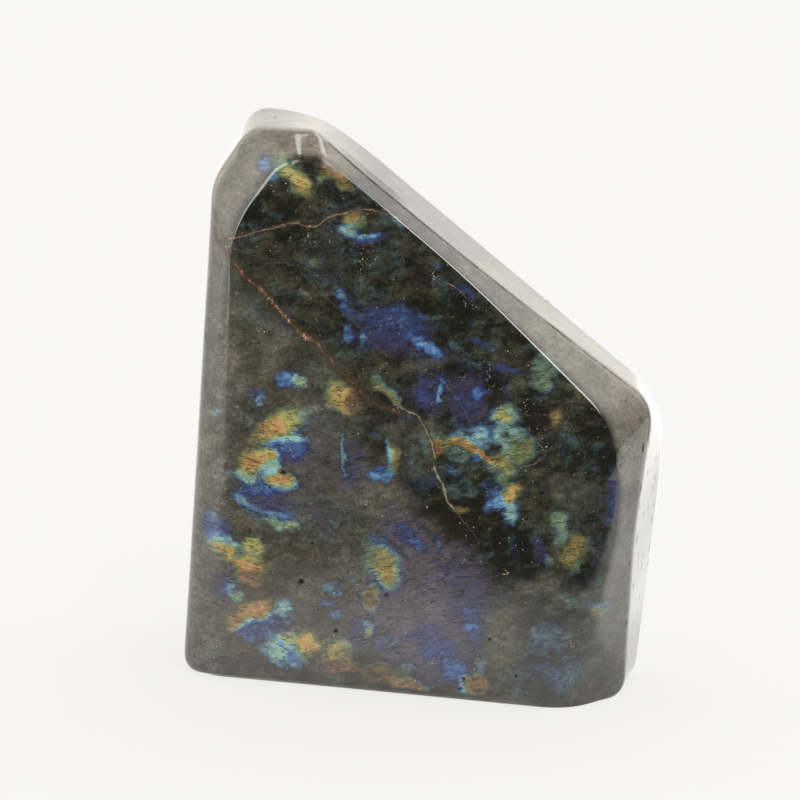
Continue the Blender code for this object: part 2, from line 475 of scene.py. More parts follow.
def pitTree():
    tree = bpy.data.node_groups.new("scatteredPits", "GeometryNodeTree")
    tree.interface.new_socket("Geometry", in_out="INPUT", socket_type="NodeSocketGeometry")
    for name, value in pitting.items():
        kind = "NodeSocketInt" if isinstance(value, int) else "NodeSocketFloat"
        tree.interface.new_socket(name, in_out="INPUT", socket_type=kind)
    tree.interface.new_socket("Finish", in_out="INPUT", socket_type="NodeSocketMaterial")
    tree.interface.new_socket("Geometry", in_out="OUTPUT", socket_type="NodeSocketGeometry")
    given = newNode(tree, "NodeGroupInput").outputs
    place = newNode(tree, "GeometryNodeInputPosition").outputs[0]
    normal = newNode(tree, "GeometryNodeInputNormal").outputs[0]

    def stored(geometry, name, value):
        inputs = {"Geometry": geometry, "Name": name, "Value": value}
        kind = "GeometryNodeStoreNamedAttribute"
        return newNode(tree, kind, inputs, data_type="FLOAT", domain="POINT").outputs[0]

    height = axesOf(tree, place)["Z"]
    aboveFoot = newNode(tree, "FunctionNodeCompare", {0: height, 1: given["Lowest pit"]}).outputs[0]
    scatter = {
        "Mesh": given["Geometry"],
        "Selection": aboveFoot,
        "Density": given["Pits per square metre"],
        "Seed": given["Seed"],
    }
    spread = newNode(tree, "GeometryNodeDistributePointsOnFaces", scatter).outputs["Points"]
    sizes = {2: given["Smallest pit"], 3: given["Largest pit"], "Seed": given["Seed"]}  # the float sockets
    radius = newNode(tree, "FunctionNodeRandomValue", sizes, data_type="FLOAT").outputs[1]
    sized = stored(spread, "pitRadius", radius)
    inputs = {"Geometry": sized, "Sample Position": place}
    nearest = newNode(tree, "GeometryNodeSampleNearest", inputs, domain="POINT").outputs[0]

    def atNearest(value, kind):
        inputs = {"Geometry": sized, "Value": value, "Index": nearest}
        return newNode(tree, "GeometryNodeSampleIndex", inputs, data_type=kind, domain="POINT").outputs[0]

    centre = atNearest(place, "FLOAT_VECTOR")
    inputs = {"Name": "pitRadius"}
    named = newNode(tree, "GeometryNodeInputNamedAttribute", inputs, data_type="FLOAT").outputs[0]
    share = mathOf(tree, "DIVIDE", distanceOf(tree, place, centre), atNearest(named, "FLOAT"))
    hollow = rangeOf(tree, share, 0.35, 1.0, 1.0, 0.0)
    offset = scaled(tree, normal, times(tree, hollow, given["Deepest pit"], -1.0))
    inputs = {"Geometry": given["Geometry"], "Offset": offset}
    dented = newNode(tree, "GeometryNodeSetPosition", inputs).outputs[0]
    # the hollow is stored so that the material can paint shade into it
    marked = stored(dented, "scatteredPit", hollow)
    real = newNode(tree, "GeometryNodeRealizeInstances", {"Geometry": marked}).outputs[0]
    inputs = {"Geometry": real, "Material": given["Finish"]}
    finished = newNode(tree, "GeometryNodeSetMaterial", inputs).outputs[0]
    newNode(tree, "NodeGroupOutput", {0: finished})
    return tree


def srgb(*colour):
    linear = [(c / 255 / 12.92 if c <= 10 else ((c / 255 + 0.055) / 1.055) ** 2.4) for c in colour]
    return (*linear, 1.0)


def mixOf(tree, share, first, second):
    node = newNode(tree, "ShaderNodeMix", data_type="RGBA", clamp_factor=True)
    for socket, value in ((0, share), (6, first), (7, second)):  # factor, colour A, colour B
        if isinstance(value, bpy.types.NodeSocket):
            tree.links.new(value, node.inputs[socket])
        else:
            node.inputs[socket].default_value = value
    return node.outputs[2]


def rampOf(tree, share, stops):
    node = newNode(tree, "ShaderNodeValToRGB", {0: share})
    elements = node.color_ramp.elements
    while len(elements) < len(stops):
        elements.new(0.5)
    for element, (position, colour) in zip(elements, stops):
        element.position = position
        element.color = srgb(*colour)
    return node.outputs["Color"]


def noiseOf(tree, vector, size, detail=3.0, roughness=0.5, distortion=0.0):
    inputs = {"Vector": vector, "Scale": 1 / size, "Detail": detail, "Roughness": roughness}
    inputs["Distortion"] = distortion
    return newNode(tree, "ShaderNodeTexNoise", inputs).outputs["Fac"]


def attributeOf(tree, name):
    return newNode(tree, "ShaderNodeAttribute", attribute_name=name, attribute_type="GEOMETRY").outputs["Fac"]


# The stone's pattern, with the painted sheen and painted shade that lie in its colour
cleavage = {
    "rise": 16.0,  # the lamellae climb to the right by this many degrees
    "leftFall": 8.0,  # and at the left they fall by this many
    "leftEnds": (-24.0, -18.0),
    "slip": 0.6,  # how far the lamellae shift the edge of a flash
    "slabSize": np.array((7.0, 5.0, 0.8)),  # along, through and across them
    "stray": 1.0,
    "haloReach": 1.45,  # a bluer, fainter rim round each flash
    "haloShift": 0.2,
    "haloGlow": 0.4,
    "haloFrom": 0.45,  # only round flashes that glow this much
    "haloLargest": 6.0,  # and are no larger
    "flashDepth": 13.0,  # how far a flash of the front reaches into the stone
    "groundDepth": 12.0,
    # how far the painted sheen reaches into the stone
    "sheenDepth": 22.0,
}

# The flashes of colour. Each row: x, z, half width, half height, turn in degrees, hue, glow, then what
# differs: along and across tilt the hue over the patch, rim shifts it at the rim, square makes it blocky.
# Hue runs 0 violet, 0.25 blue, 0.4 sky, 0.5 cyan, 0.6 green, 0.7 olive, 0.8 gold, 0.9 orange, 1 copper.
frontFlashes = [
    # violet haze
    (-22.3, 50, 5, 8.5, -10, 0, 0.3, {"square": 3}),
    (-19.5, 38, 7, 5, 0, 0, 0.2),
    (-10.5, 47, 3, 4.5, 20, 0.02, 0.25),
    (-4, 59.5, 5.5, 2.6, 10, 0, 0.18),
    # the crown and the upper left
    (-36, 112.8, 1.2, 1.3, 0, 0.34, 0.9),
    (-42, 107, 1, 1.8, 0, 0.48, 0.25),
    (-33.6, 111, 2.2, 0.9, 55, 0.36, 0.5),
    (-29.3, 110.7, 4, 1.7, -42, 0.72, 0.95, {"along": 0.1}),
    (-23.2, 111, 1, 0.9, 0, 0.62, 0.5),
    (-20.2, 111.2, 3.4, 0.9, -32, 0.9, 0.6),
    (-18.5, 109.3, 2.6, 0.8, -35, 0.72, 0.45),
    (-16.4, 102.8, 1.6, 1.7, 0, 0.8, 0.6, {"rim": -0.2}),
    (-17, 99.9, 2.8, 1, -15, 0.46, 0.75),
    (-13.3, 98.7, 3.2, 1, 12, 0.28, 0.9, {"across": 0.22}),
    (-7, 102.4, 2.3, 0.8, -32, 0.45, 0.45),
    (-4.2, 99, 2.4, 1, -30, 0.68, 0.2),
    (2.2, 93.8, 1.2, 0.8, 0, 0.33, 0.4),
    (8.2, 89.5, 2.4, 0.8, -38, 0.22, 0.65),
    (-18.3, 86.2, 1.3, 1.1, 0, 0.42, 0.65),
    (-17, 83.6, 2.7, 0.8, -50, 0.27, 0.5),
    (-30.3, 79.3, 1.3, 1, 0, 0.2, 0.6),
    (-26.3, 86.2, 1.8, 0.7, -20, 0.48, 0.25),
    (-25, 92.4, 2.6, 1.6, 0, 0.38, 0.14),
    (-23.7, 92.8, 1, 1, 0, 0.62, 0.3),
    (-16.3, 78, 0.9, 1.5, 15, 0.38, 0.7),
    # the large blue crystal
    (-7.5, 79.3, 6.8, 4.6, -6, 0.15, 0.6, {"across": 0.06, "square": 3}),
    (-3.6, 81.2, 4.2, 2.6, -35, 0.23, 0.65),
    (-8.5, 82.3, 4, 1.8, 8, 0.24, 0.6),
    (0.4, 77, 3.8, 1.2, -32, 0.33, 0.95),
    (-13.2, 76.8, 0.9, 2, 0, 0.36, 0.45),
    # the middle
    (1.7, 66.8, 2.7, 3.9, 0, 0.15, 0.62, {"square": 4}),
    (4, 67, 0.5, 2.7, 0, 0.42, 0.8),
    (9.9, 65.6, 3.5, 4.6, 22, 0.12, 0.6, {"square": 4}),
    (12.5, 67.7, 1.4, 1.3, 0, 0.3, 1),
    (12.6, 78.2, 2.7, 0.7, -28, 0.27, 0.5),
    (18.2, 73.2, 2.3, 0.8, -15, 0.2, 0.8),
    (-7.4, 66.2, 3.7, 0.8, -42, 0.64, 0.6, {"across": -0.22}),
    (-14.8, 63.5, 1.7, 3, 0, 0.93, 0.35),
    (-18, 64.8, 2.2, 2.7, 15, 0.8, 0.8, {"rim": -0.08}),
    (-16.8, 61.9, 1.4, 0.9, -45, 0.74, 0.8),
    (18.3, 63, 2.2, 2, 0, 0.7, 0.8, {"rim": -0.22}),
    # the bright knot right of the middle
    (10, 46.5, 4.2, 2.2, 10, 0.45, 0.22),
    (3.3, 47.8, 3.4, 1.3, 10, 0.2, 0.35),
    (1.5, 56, 1.7, 2.7, 0, 0.48, 0.28),
    (5.3, 56.2, 2.5, 1.7, 0, 0.56, 0.45),
    (19.5, 57.4, 4.2, 3.3, -10, 0.52, 0.72, {"along": 0.08}),
    (22.4, 55.6, 2.6, 2.5, 0, 0.64, 0.5),
    (18.4, 52.4, 3, 2, -20, 0.6, 0.5),
    (12.4, 58.3, 4.2, 1.7, 8, 0.43, 0.82),
    (15.6, 58.8, 0.8, 1.5, 0, 0.3, 0.5),
    (12.5, 55, 5.6, 0.9, -20, 0.9, 0.75),
    (4.2, 54.9, 1.5, 1.4, -20, 0.9, 0.6),
    (9, 53.4, 2.6, 1.6, 0, 0.5, 0.35),
    (16, 55.4, 1.7, 1.1, -25, 0.5, 0.1),
    (18.6, 58.4, 0.8, 1, 0, 0.5, 0.2),
    (10.5, 58.6, 0.9, 0.8, 0, 0.4, 0.25),
    (12.3, 53.7, 1, 0.8, 0, 0.3, 0.75),
    (18.4, 51.9, 2.4, 0.6, -35, 0.68, 0.75),
    (7.8, 50, 1.3, 1.2, 0, 0.35, 0.5),
    (16.3, 46.8, 1.7, 2.6, 0, 0.28, 0.4),
    (18.7, 48.7, 1.2, 1.5, 0, 0.58, 0.5),
    (18.4, 44.2, 2.5, 1.7, 20, 0.36, 0.95),
    (20.9, 42.4, 1.4, 1.9, 0, 0.48, 0.8),
    (20.5, 46.2, 1.5, 2, 0, 0.86, 0.9, {"rim": -0.06}),
    (9.8, 42, 1.6, 0.8, 0, 0.78, 0.45),
    # the violet blade and the hook left of the middle
    (-14.3, 49.5, 2.2, 5.6, -8, 0.12, 0.5, {"square": 3}),
    (-16, 51.6, 0.5, 4.6, 0, 0.5, 0.55),
    (-5, 52, 1.1, 3.2, 0, 0.7, 0.4),
    (-6.3, 51.6, 0.7, 3.9, 0, 0.48, 0.7, {"along": 0.15}),
    (-8, 48, 2.2, 1.5, 15, 0.32, 0.85, {"across": -0.12}),
    (-4.7, 41, 1.7, 1, 0, 0.55, 0.3),
    # along the right
    (26, 73.6, 2.7, 3, -20, 0.53, 0.45),
    (25.5, 70.4, 1.9, 1.4, 0, 0.55, 0.42),
    (31.5, 69.8, 2.2, 0.8, -35, 0.68, 0.3),
    (29.3, 63.7, 1.3, 1.5, 0, 0.74, 0.42),
    (42.3, 47, 1.3, 5.6, 0, 0.2, 0.6, {"across": -0.05}),
    (31.7, 39.5, 1.5, 3.3, 8, 0.56, 0.6),
    (35, 35, 2, 3.6, -25, 0.75, 0.5),
    (35.3, 31.3, 0.9, 1.4, 0, 0.6, 0.45),
    (27.7, 34.8, 1.2, 2.8, 15, 0.14, 0.6),
    (29.7, 31.8, 1, 1.5, 0, 0.48, 0.35),
    (34.5, 24, 1.4, 1.7, 0, 0.42, 0.3),
    (41, 22.6, 2.2, 1, 0, 0.36, 0.4),
    (40.8, 20.8, 1.5, 1, 0, 0.7, 0.45),
    (30.6, 14.8, 4.2, 4, 0, 0.37, 0.34),
    (34.4, 6.6, 2.8, 4.8, -28, 0.33, 0.33),
    (28.5, 8, 3, 2.4, 0, 0.26, 0.3),
    # the rainbow knot at the left
    (-29, 67.1, 2.4, 1.5, 0, 0.36, 0.85),
    (-26.2, 67.1, 1.4, 0.9, 0, 0.57, 0.75),
    (-36.2, 63.8, 1.3, 1.4, 0, 0.2, 0.42),
    (-34.8, 62.4, 1, 1.6, 0, 0.4, 0.7),
    (-39.3, 59.8, 1.9, 0.6, -35, 0.5, 0.38),
    (-37.3, 57.2, 0.6, 1.7, 20, 0.55, 0.3),
    (-44.7, 58.3, 1.2, 1, 0, 0.47, 0.38),
    (-43.8, 67, 1.7, 1.3, 0, 0.47, 0.25),
    (-36, 53.5, 1.3, 2, 0, 0.72, 0.4),
    (-28.4, 53.7, 4.2, 1.5, 8, 0.47, 0.9),
    (-29.6, 57.5, 4.9, 2.2, 30, 0.77, 0.95, {"along": -0.15}),
    (-28, 51.5, 4, 2.1, 3, 0.22, 0.95, {"across": 0.1}),
    (-37.2, 44.8, 2.9, 1.1, -12, 0.5, 0.85),
    (-36, 48.3, 2.8, 2.2, 18, 0.9, 0.9, {"rim": -0.1}),
    (-33, 50.1, 2.5, 1.2, -8, 0.76, 0.9),
    (-31.6, 47.5, 2.4, 1.8, 0, 0.5, 1),
    (-28.6, 43.6, 3, 1.3, 6, 0.5, 0.9),
    (-29.3, 44.7, 2.5, 1.3, 4, 0.88, 0.95),
    (-29.1, 46.6, 1.1, 0.8, 0, 0.5, 0),
    (-34, 42.2, 4.8, 1.5, 3, 0.28, 0.85),
    (-31, 39.8, 4.8, 2.2, 0, 0.11, 0.7),
    (-38.2, 39.9, 1.7, 1.1, -15, 0.44, 0.85),
    (-36.2, 38.4, 2.5, 1, -30, 0.34, 0.65),
    (-29.8, 37, 3.6, 1.1, 0, 0.36, 0.75),
    (-29.2, 35.3, 3.8, 0.8, -4, 0.58, 0.75, {"along": 0.06}),
    # the lower left
    (-43.8, 32.8, 3.9, 2.5, -52, 0.24, 0.85),
    (-44.3, 35.4, 1.3, 1.4, 0, 0.38, 0.6),
    (-41.8, 30.4, 3.2, 0.9, -14, 0.48, 0.9),
    (-41.4, 28.3, 3.2, 1.4, -22, 0.78, 0.9),
    (-36.6, 25.9, 3.8, 1.5, -4, 0.83, 0.95, {"across": -0.06}),
    (-35, 29, 2, 2.4, -15, 0.7, 0.9),
    (-38.1, 27.4, 1.1, 1, 0, 0.52, 0.45),
    (-35.4, 22.3, 3.1, 1.8, -25, 0.9, 0.42),
    (-41.5, 20, 2.8, 3.2, 0, 0.2, 0.5),
    (-40, 19.8, 1, 1.6, 0, 0.38, 0.6),
    (-38.2, 18.2, 1.2, 1.4, 0, 0.52, 0.55),
    (-17.5, 36.5, 1.4, 0.6, -40, 0.66, 0.28),
    (-34.4, 15, 4.4, 1.5, 24, 0.87, 0.75),
    (-38.3, 12.5, 1.8, 1.7, 0, 0.85, 0.5),
    (-33, 13.3, 4.6, 0.8, 24, 0.5, 0.85),
    (-32, 11.4, 4.7, 2, 20, 0.24, 0.7),
    (-35.8, 9, 1.2, 1.1, 0, 0.34, 0.65),
    (-27.5, 15.9, 1.7, 2.1, 0, 0.47, 0.85),
    (-26.2, 14.3, 1.1, 1.2, 0, 0.34, 0.55),
    (-31.8, 7.3, 1.7, 1, 0, 0.42, 0.5),
    (-27.4, 6.6, 3.4, 2.8, -20, 0.5, 0.85),
    (-25.5, 4.5, 2.5, 1.8, 0, 0.32, 0.95),
    (-27, 8.3, 1.7, 1.4, 0, 0.3, 0.85),
    (-25.4, 9.6, 2.6, 1.3, 12, 0.66, 0.9),
    (-22.2, 8.6, 2.4, 2, -30, 0.86, 1, {"rim": -0.1}),
    (-26, 3, 2, 0.8, -10, 0.42, 0.6),
    (-17, 21.8, 1.9, 1.7, -20, 0.38, 0.5),
    (-17.8, 18, 1.5, 0.6, 0, 0.32, 0.55),
    (-15.7, 16, 1.5, 0.9, 0, 0.36, 0.6),
    (-14.6, 4.3, 4.2, 2, 4, 0.93, 0.36),
    (-14.9, 8.2, 2.8, 2.2, 0, 0.72, 0.6),
    (-44.5, 6.2, 1.7, 2, 0, 0.55, 0.3),
    # the lower middle
    (7, 22, 9, 12, -30, 0.02, 0.5, {"square": 3}),
    (-1, 35, 8, 4.5, -35, 0.04, 0.5),
    (-3.5, 15, 9, 10, 10, 0, 0.42),
    (7, 9, 9, 7, 10, 0.05, 0.5),
    (-1.3, 35.4, 2.8, 1.4, -40, 0.19, 0.75),
    (1.8, 33, 1.8, 1.1, -40, 0.3, 0.7),
    (5.5, 33.8, 0.9, 1.8, 20, 0.3, 0.45),
    (9, 29, 2.2, 1.4, 0, 0.18, 0.42),
    (-6.5, 33, 2.9, 1, -25, 0.3, 0.6),
    (-8.2, 31.4, 1.7, 0.9, 0, 0.72, 0.55),
    (-5.7, 27.4, 3.3, 5.8, 25, 0.79, 0.62, {"rim": -0.34}),
    (12.4, 21.6, 3.8, 4.4, -10, 0.12, 0.58, {"square": 3}),
    (14.2, 16.4, 1.9, 4.6, 12, 0.24, 0.75),
    (-10.3, 12.9, 2.8, 2.7, 0, 0.15, 0.5),
    (-8.3, 14.5, 1.9, 1.3, 0, 0.42, 0.5),
    (-8, 12.9, 1, 1.3, 0, 0.68, 0.65),
    (-4, 10.5, 3.1, 1.7, 15, 0.3, 0.38),
    (3.8, 13.2, 4.4, 1.7, 12, 0.15, 1),
    (7.2, 10, 3.8, 1.9, 12, 0.19, 1.05),
    (10.4, 5.9, 2.8, 2.3, 20, 0.26, 1.05),
    (12.8, 2.8, 1.6, 1.4, 0, 0.42, 0.7),
    (-1, 4.6, 2.6, 2, 0, 0.5, 0.3),
    (-5.5, 3.4, 4.2, 2.3, 5, 0.8, 0.26),
    (0.2, 1.8, 4.6, 1.2, 0, 0.86, 0.42),
    (15.5, 3.3, 2.7, 2.3, -35, 0.87, 0.42),
    (-13, 24, 0.6, 1.5, 25, 0.36, 0.42),
    (-8.7, 20, 1.7, 2.7, 0, 0.96, 0.36),
    (16.5, 8, 1.7, 1.3, 0, 0.42, 0.32),
]

# Flashes of the same kind for the faces that the front's don't reach, placed by a fixed seed
sideFlashes = {
    "seed": 5,
    "count": 70,
    "hues": (0.12, 0.18, 0.22, 0.26, 0.32, 0.4, 0.5, 0.58, 0.74, 0.84, 0.9),
    "size": (1.2, 3.4),
    "turn": (-40, 40),
    "glow": (0.3, 0.85),
    "stretch": (0.8, 1.9),
    "depth": 9.0,
    "rim": (-0.3, 0.1),
}

# Where the ground is darker or paler, and where a painted sheen lies over it: a painted reflection of the
# pale floor and studio, which makes the face paler and hazier. Each row: x, z, half width, half height, turn,
# tone, sheen.
grounds = [
    (-28, 24, 26, 32, 20, 0.1, 0.42),
    (2, 20, 13, 18, 35, 0.08, 0.5),
    (30, 8, 20, 12, 0, -0.04, 0.12),
    (22.9, 12, 3.2, 7, -35, 0.2, 0.2),
    (29.2, 27.5, 6, 2.6, 30, 0.22, 0.1),
    (41.6, 17, 2.4, 3.4, 0, 0.24, 0.2),
    (39.5, 28.5, 3.6, 4, 0, -0.2, 0),
    (39.5, 4.5, 4, 2.6, 0, -0.12, 0),
    (22, 20, 3.6, 3, 10, 0.2, 0.2),
    (36.8, 25.6, 4.6, 2, 12, 0.2, 0.1),
    (25.5, 26.2, 3.8, 2, 10, 0.12, 0.1),
    (27.8, 11.6, 3, 2.2, 0, -0.16, 0),
    (33, 19.5, 4.6, 1.4, 14, -0.14, 0),
    (40.8, 30, 3.4, 1.6, 14, -0.14, 0),
    (28.6, 47.6, 4.2, 2.4, 6, 0.12, 0),
    (17.3, 10.5, 2.4, 6, -30, 0.12, 0.2),
    (17, 26, 8, 9, 0, -0.16, 0),
    (20, 59, 9, 6, 0, -0.08, 0),
    (30, 14.5, 5, 4.5, 0, -0.1, 0),
    # paler beside the left bevel, with painted sheen: painted light carried over from the lit bevel
    (-46, 46, 5.5, 52, 0, 0.24, 0.5),
    (-42, 66, 4, 20, 0, 0.14, 0.35),
    (8, 68, 9, 7, 0, -0.22, 0),
    (-4, 79, 10, 8, 0, -0.2, 0),
    (-5, 3, 26, 5, 3, -0.28, 0),
    (32, 12, 12, 12, 0, -0.06, 0),
    (-7, 42.5, 7, 3.8, -10, 0.3, 0.6),
    (20, 15, 4, 6, 0, 0.15, 0.4),
    (28, 24, 7, 4.5, 0, 0.14, 0.1),
    (4.5, 26, 3.2, 1.8, 20, 0.25, 0.4),
    (-2, 58, 6, 2.6, 5, 0.16, 0.12),
    (-3, 52, 4, 5, 0, 0.1, 0.1),
    (0, 72.6, 8, 1.5, 14, 0.25, 0.2),
    (-38, 75, 9, 9.5, 20, 0.26, 0.3),
    (33, 48, 6, 3, 0, 0.1, 0.1),
    (-26, 52, 18, 20, -10, 0.2, 0.12),
    (-8, 36, 8, 6, 10, 0.15, 0.1),
    (33, 27, 5, 3, 0, 0.1, 0),
    (-33.5, 98, 5, 4, 0, -0.12, 0),
    (2, 74, 4, 3, 0, -0.15, 0),
    (10.5, 73, 4, 3, -20, -0.12, 0),
    (26, 53, 8, 7, 0, -0.08, 0),
    (27, 14, 7, 5, -20, -0.15, 0),
    (12, 27, 6, 4, 0, -0.12, 0),
    (-10, 15, 10, 9, 0, -0.1, 0),
    (-33, 103, 9, 3, 10, -0.2, 0),
    (-28.5, 99, 4, 2.2, 0, -0.25, 0),
    (-17, 106, 6, 2, -20, -0.2, 0),
    (2, 87, 10, 6, -30, -0.15, 0),
    (15, 82, 7, 4, -35, -0.1, 0),
    (-9.5, 62, 5, 4, 0, -0.25, 0),
    (-9.5, 54.5, 3, 4.5, 0, -0.3, 0),
    (2, 43, 6, 4, -20, -0.4, 0),
    (12, 44, 5, 5, 0, -0.2, 0),
    (17, 36, 10, 6.5, -12, -0.42, 0),
    (28, 30, 9, 3, -15, -0.2, 0),
    (39.5, 29.5, 4, 3, 0, -0.22, 0),
    (24, 64, 3, 5, 0, -0.25, 0),
    (35.5, 62.5, 6, 3.5, 10, -0.2, 0),
    (40, 56, 4, 2.5, 10, -0.25, 0),
    (30, 55.5, 8, 3, 10, -0.12, 0),
    (16, 49, 5, 3, 10, -0.12, 0),
]

# Where the ground edges are painted pale, a painted reflection of the bright studio on the bevels: (x, z),
# (half width, half height), turn, how pale
edgeSheen = [
    ((-34, 112), (17, 17), 0, 0.95),
    ((-46, 92), (6, 12), 0, 0.7),
    ((-50, 40), (2.6, 60), 0, 0.3),
    ((-2, 98), (18, 8), -36, 0.14),
    ((16, 85), (12, 8), -36, 0.55),
    ((32, 72), (22, 10), -36, 0.95),
    ((46, 58), (8, 9), 0, 1),
    ((47, 28), (6, 34), 0, 0.22),
]

# The healed cracks, each a line of (x, z) on the front, with its width and how rusty it is
cracks = [
    {
        "width": 0.72,
        "rust": 1,
        "line": [
            (-46.5, 96.5), (-45, 95.2), (-43.5, 93.2), (-42, 91.4), (-40, 89.8), (-37.5, 87.5), (-35, 85.7),
            (-33.5, 84), (-32, 82.3), (-30, 80.4), (-28.3, 79.2), (-27, 78), (-25, 76.5), (-23, 75.3),
            (-21.5, 74), (-20, 72.7), (-19.2, 71.2), (-18, 70.2), (-16.5, 69), (-15, 68), (-13.8, 66.9),
            (-12.5, 65.5), (-11, 64.3), (-9, 63.3), (-7, 62.5), (-5.5, 62),
        ],
    },
    {
        "width": 0.42,
        "rust": 0.45,
        "line": [
            (-4, 62.9), (-2.5, 62.4), (-1, 61.8), (0.3, 60.6), (1.1, 59.4), (1.9, 57.8), (2.8, 56.3),
            (3.3, 54.8), (3.6, 53),
        ],
    },
    {
        "width": 0.55,
        "rust": 0.25,
        "line": [(3.8, 50.5), (4.6, 48.8), (5.8, 47), (6.6, 44.8), (7.2, 43.2), (8.5, 41.8)],
    },
    {
        "width": 0.42,
        "rust": 0.85,
        "line": [
            (-47.5, 98.5), (-46, 96.6), (-44, 96), (-42.5, 96.8), (-41, 97.2), (-38, 98.2), (-35.5, 99),
            (-33, 99.7), (-30.5, 100.6), (-28, 101), (-26, 100.3), (-24.5, 100.5), (-23, 101.6),
            (-21.5, 102.8), (-19.5, 103.4), (-17.5, 104), (-14, 104.8), (-11, 104.4),
        ],
    },
    {"width": 0.14, "rust": 0.7, "line": [(4.8, 90.2), (6.3, 89.6), (7.4, 88.8)]},
    {"width": 0.16, "rust": 0.6, "line": [(22.5, 52), (24, 52.6), (25.5, 53.6), (26.6, 54.8)]},
]

# Clusters of bright specks: x, z, radius
speckClusters = [
    (-25.3, 98, 1.6), (-22.2, 104, 0.9), (-13, 94, 2.6), (-34.9, 78.2, 1.4), (-37, 74.2, 1.2),
    (-31.5, 74.3, 0.9), (14, 71.6, 1.6), (13.8, 74.2, 1.2), (19, 76.3, 1.8), (27.2, 57.6, 1.6),
    (22.6, 66, 1.3),
    (-15.6, 12.2, 1.2), (-21, 17, 0.8), (-39, 36, 1.4), (23.4, 41, 1), (35.5, 14.2, 0.9), (2, 91.5, 1.2),
    (-28, 101, 1), (34, 51.6, 0.9), (8.8, 86.5, 0.9), (20.5, 28.5, 1),
]

# Smaller marks
marks = {
    "crackReach": 9.0,  # farther from a crack than this counts as none
    "crackWobble": ((2.6, 9, 0.35), (0.9, 10, 0.14)),  # length, seed, swing
    "frontDepth": 10.0,  # cracks, specks, pits and the dull crown stay this near to the front
    "chipsFrom": (6.0, 3.5),  # in from the right
    "chipsAbove": (2.0, 6.0),
    "ridgeStart": (28.0, 60.0),  # the painted shade line along the ridge, a dark painted reflection, runs right of this and above this
    "ridgeWidth": (0.75, 0.25),
    "ridgeSteps": 6,
    "dullCrown": ((-17.0, 108.0), (12.0, 10.0)),  # the face is less polished here: (x, z), half sizes
}


def turned(u, v, degrees):
    angle = math.radians(degrees)
    return u * math.cos(angle) + v * math.sin(angle), v * math.cos(angle) - u * math.sin(angle)


def strayed(places, seed):
    # two noises, the finer at half the reach
    return (noiseAt(places, 3.4, seed) + noiseAt(places, 1.3, seed + 1) * 0.5) * cleavage["stray"]


def warped(places):
    along, across = turned(places[:, 0], places[:, 2], cleavage["rise"])
    slabs = np.column_stack((along, places[:, 1], across)) / cleavage["slabSize"]
    slip = (noiseAt(slabs, 1.0, 3) + noiseAt(slabs, 0.45, 4) * 0.5) * cleavage["slip"]
    rise = math.radians(cleavage["rise"])
    moved = places.copy()
    moved[:, 0] += slip * math.cos(rise) + strayed(places, 5)
    moved[:, 2] += slip * math.sin(rise) + strayed(places, 7)
    return moved


def shareOf(places, centre, halves, turn, square=2, soft=0.5):
    offset = places - np.array(centre)
    across, up = turned(offset[:, 0], offset[:, 2], turn)
    local = np.column_stack((across, offset[:, 1], up)) / np.array(halves)
    reach = (np.abs(local) ** square).sum(1) ** (1 / square)
    return smooth(1 + soft, 1 - soft, reach), local, reach


def flashRows():
    rows = []
    for row in frontFlashes:
        x, z, w, h, turn, hue, glow, *more = row
        halves = (w, cleavage["flashDepth"], h)
        rows.append(((x, front, z), halves, turn, hue, glow, more[0] if more else {}))
    dice = random.Random(sideFlashes["seed"])
    for _ in range(sideFlashes["count"]):
        x, z = dice.uniform(left, right), dice.uniform(foot, crown)
        hue = dice.choice(sideFlashes["hues"])
        size, turn, glow = (dice.uniform(*sideFlashes[name]) for name in ("size", "turn", "glow"))
        halves = (size * dice.uniform(*sideFlashes["stretch"]), sideFlashes["depth"], size)
        rows.append(((x, back, z), halves, turn, hue, glow, {"rim": dice.uniform(*sideFlashes["rim"])}))
    halos = []
    for centre, halves, turn, hue, glow, _ in rows:
        if glow >= cleavage["haloFrom"] and max(halves[0], halves[2]) < cleavage["haloLargest"]:
            wider = tuple(half * cleavage["haloReach"] for half in halves)
            halos.append((centre, wider, turn, hue - cleavage["haloShift"], glow * cleavage["haloGlow"], {}))
    return halos + rows


def layFlashes(moved):
    hue, glow = np.full(len(moved), 0.2), np.zeros(len(moved))
    for centre, halves, turn, level, strength, more in flashRows():
        share, local, reach = shareOf(moved, centre, halves, turn, more.get("square", 2))
        tint = level + more.get("along", 0) * local[:, 0] + more.get("across", 0) * local[:, 2]
        tint = tint + more.get("rim", 0) * np.minimum(reach, 1.2) ** 2
        newGlow = glow * (1 - share) + strength * share
        hue = (hue * glow * (1 - share) + tint * strength * share + 0.2 * 1e-6) / (newGlow + 1e-6)
        glow = newGlow
    return np.clip(hue, 0, 1), glow


def layGrounds(places, moved):
    tone, paintedSheen = np.zeros(len(moved)), np.zeros(len(moved))
    for x, z, w, h, turn, dark, sheenAmount in grounds:
        share = shareOf(moved, (x, front, z), (w, cleavage["groundDepth"], h), turn)[0]
        tone += dark * share
        paintedSheen = paintedSheen + (sheenAmount - paintedSheen) * share * (sheenAmount > 0)
    # the painted sheen of the bevels, a painted reflection, which also makes their tone paler
    offFace = smooth(0.2, 1.6, places[:, 1] - front)
    for (x, z), (w, h), turn, amount in edgeSheen:
        centre, halves = (x, front + 6.0, z), (w, cleavage["sheenDepth"], h)
        share = shareOf(moved, centre, halves, turn, soft=0.3)[0] * offFace
        paintedSheen = np.maximum(paintedSheen, amount * share)
        tone += 0.2 * amount * share
    return tone, paintedSheen


